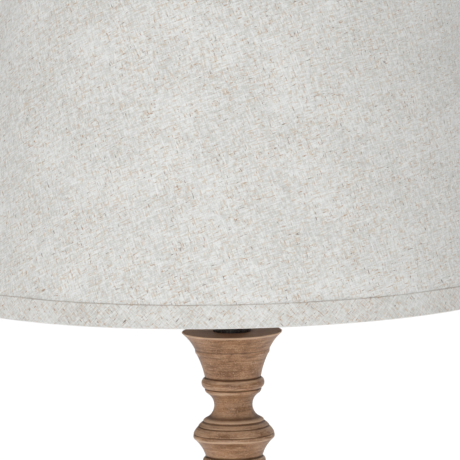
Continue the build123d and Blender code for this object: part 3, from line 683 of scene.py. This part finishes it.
def hem_section():
    """The hem's folded section, with points along the slope from the edge and in from the face."""
    inside = HEM_DEPTH - CLOTH_T
    section = [
        (HEM_H, CLOTH_T),
        (HEM_H, 0.3 * CLOTH_T),
        (HEM_H - 0.25 * MM, 0.0),
        (HEM_H - FOLD_W, 0.0),
    ]
    section += [(HEM_H * share, 0.0) for share in (0.75, 0.5, 0.25)]
    quarter = [math.pi / 2 * step / 5 for step in range(6)]
    section += [
        (HEM_CORNER * (1 - math.sin(a)), HEM_CORNER * (1 - math.cos(a))) for a in quarter
    ]
    section += [
        (HEM_CORNER * (1 - math.cos(a)), HEM_DEPTH - HEM_CORNER * (1 - math.sin(a)))
        for a in quarter
    ]
    section += [(WRAP_H * 0.6, HEM_DEPTH), (WRAP_H, HEM_DEPTH), (WRAP_H, inside)]
    section += [(CLOTH_T, inside), (CLOTH_T, CLOTH_T)]
    return section


def shade_hem(name, node, edge, turn, seed):
    """A bias strip folded round an edge wire, its length and its width.

    edge is how far up the slope its own edge lies, and turn is 1 for up from there or -1.
    """
    section = hem_section()
    radius = RIM_R - lean * edge
    lap = SEAM_LAP / RIM_R
    travel = [0.0]
    for here, onward in zip(section, section[1:]):
        travel.append(travel[-1] + math.dist(here, onward))

    points = []
    for along, inward in section:
        on_face = inward < 0.5 * CLOTH_T
        for column in range(HEM_COLUMNS):
            angle = SEAM_ANGLE + 2 * math.pi * column / HEM_COLUMNS
            round_edge = Vector((math.sin(angle), math.cos(angle), 0)) * radius
            drift = HEM_DRIFT * noise.noise(round_edge * DRIFT_SCALE + Vector((0, 0, seed)))
            drift *= smooth_step(along, 0.5 * HEM_H, HEM_H)
            bulge_at = round_edge * BULGE_SCALE + Vector((0, seed, along * 90))
            bulge = HEM_BULGE * noise.noise(bulge_at)
            off_seam = abs((angle - SEAM_ANGLE + math.pi) % (2 * math.pi) - math.pi)
            over_lap = 0.5 * PANEL_T * (1 - smooth_step(off_seam, 0.5 * lap, 0.9 * lap))
            depth = inward + (bulge if on_face else 0.0)
            depth -= over_lap if inward < 0.5 * HEM_DEPTH else 0.0
            points.append(on_shade(angle, edge + turn * (along + drift), depth))

    def place(row, column):
        """The strip was cut at 45 degrees to the threads."""
        round_way = radius * 2 * math.pi * column / HEM_COLUMNS
        up_way = turn * travel[row]
        return ((round_way + up_way) * math.sqrt(0.5), (up_way - round_way) * math.sqrt(0.5))

    faces = grid_faces(len(section), HEM_COLUMNS, True, True)
    if turn > 0:
        faces = [face[::-1] for face in faces]
    piece = make_piece(name, points, faces, "shade", "linen", node)
    lay_cloth(piece, HEM_COLUMNS, place)
    # Where the fold's painted shade goes: all of it in the fold, a little over the rest of the hem.
    fold = piece.data.attributes.new("fold", "FLOAT", "POINT")
    in_fold = [1.0 if along > HEM_H - 0.5 * FOLD_W else HEM_DARKENING_SHARE for along, inward in section]
    fold.data.foreach_set("value", [value for value in in_fold for column in range(HEM_COLUMNS)])
    length = 2 * math.pi * radius + SEAM_LAP
    return piece, length, HEM_H + HEM_DEPTH + WRAP_H


# ---- Stage, light and camera ----------------------------------------------------------------
VIEW_DISTANCE = 3.0
VIEW_ELEVATION = math.radians(8.37)
VIEW_ROLL = math.radians(1.11)
LENS = 347.3
AIM_ABOVE_CUP = 68.2 * MM
SKY_LIGHT = 0.2  # the sky is white to the camera, and this bright as a light
FLOOR_R = 30.0
LIGHTS_AIM = (0, 0, 0.5)


def add_camera():
    """A long lens, a little above the column's top, that takes in only the shade's lower part."""
    data = bpy.data.cameras.new("camera")
    camera = bpy.data.objects.new("camera", data)
    bpy.context.scene.collection.objects.link(camera)
    data.lens = LENS
    data.sensor_width = 36.0
    data.clip_end = 60.0
    cos_e, sin_e = math.cos(VIEW_ELEVATION), math.sin(VIEW_ELEVATION)
    cup = Vector((0, 0, cup_top))
    camera.location = cup + Vector((0, -cos_e, sin_e)) * VIEW_DISTANCE
    aim = cup + Vector((0, sin_e, cos_e)) * AIM_ABOVE_CUP
    look = (aim - camera.location).to_track_quat("-Z", "Y").to_matrix().to_4x4()
    turned = Matrix.Translation(camera.location) @ look @ Matrix.Rotation(-VIEW_ROLL, 4, "Z")
    camera.matrix_world = turned
    bpy.context.scene.camera = camera


def add_light(name, place, size, power):
    """A round soft light aimed at the lamp's middle."""
    data = bpy.data.lights.new(name, "AREA")
    data.shape = "DISK"
    data.size = size
    data.energy = power
    light = bpy.data.objects.new(name, data)
    bpy.context.scene.collection.objects.link(light)
    light.location = place
    light.rotation_euler = (Vector(LIGHTS_AIM) - Vector(place)).to_track_quat("-Z", "Y").to_euler()


def add_sun(name, strength, spread):
    """Even light straight down, as from a large ceiling panel."""
    data = bpy.data.lights.new(name, "SUN")
    data.energy = strength
    data.angle = math.radians(spread)
    light = bpy.data.objects.new(name, data)
    bpy.context.scene.collection.objects.link(light)


def add_stage():
    """A plain pale floor, a white sky and a few large soft lights, in plain sRGB."""
    bpy.context.scene.view_settings.view_transform = "Standard"
    world = bpy.data.worlds.new("studio")
    world.use_nodes = True
    tree = world.node_tree
    sky = tree.nodes["Background"]
    sky.inputs["Color"].default_value = (1.0, 1.0, 1.0, 1.0)
    seen = tree.nodes.new("ShaderNodeLightPath").outputs["Is Camera Ray"]
    strength = tree.nodes.new("ShaderNodeMapRange")
    strength.inputs["To Min"].default_value = SKY_LIGHT
    tree.links.new(seen, strength.inputs["Value"])
    tree.links.new(strength.outputs["Result"], sky.inputs["Strength"])
    bpy.context.scene.world = world

    mesh = bpy.data.meshes.new("floor")
    form = bmesh.new()
    bmesh.ops.create_circle(form, cap_ends=True, segments=96, radius=FLOOR_R)
    form.to_mesh(mesh)
    form.free()
    floor = bpy.data.objects.new("floor", mesh)
    bpy.context.scene.collection.objects.link(floor)
    paint = Paint("pale_floor", Roughness=0.8)
    grain = paint.noise(paint.here(), scale=3.0, detail=3.0)
    tint = paint.mix(grain, (0.9, 0.9, 0.9), (0.93, 0.93, 0.93))
    mesh.materials.append(paint.feed(Base_Color=tint))

    add_light("key", place=(-0.65, -2.6, 0.75), size=1.2, power=20.0)
    add_light("low_fill", place=(0.1, -1.1, 0.12), size=0.8, power=1.6)
    add_light("back", place=(1.6, 2.2, 1.2), size=1.6, power=8.0)
    add_sun("overhead", strength=2.85, spread=60.0)


# ---- Assembly --------------------------------------------------------------------------------
finish = finishes()
add_camera()
add_stage()

for part in frame["record"]["subparts"]:
    carried = frame["nodes"][part["node"]]
    for holder in carried.material_slots:
        holder.material = finish[part["material_slot"]]

bushing_low, bushing_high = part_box("cord_bushing")
bushing_z = (bushing_low.z + bushing_high.z) / 2
pocket_y = bushing_high.y - BUSHING_FLANGE
turning("upper_turning", columns=168)
turning("baluster", columns=168)
turning("lower_turning", columns=200)
turning(
    "plinth",
    columns=256,
    holes=(
        (POCKET_R, pocket_y, pocket_y + 10 * MM, bushing_z),
        (CORD_HOLE_R, RECESS_R - 2 * MM, pocket_y + 1 * MM, bushing_z),
    ),
)

panel, panel_length, panel_area = shade_panel()
for name, node, edge, turn, seed, ring in (
    ("shade_bottom_hem", "bottom_hem", 0.0, 1, 3.1, "bottom_ring"),
    ("shade_top_hem", "top_hem", slope, -1, 7.7, "top_ring"),
):
    hem, strip_length, strip_width = shade_hem(name, node, edge, turn, seed)
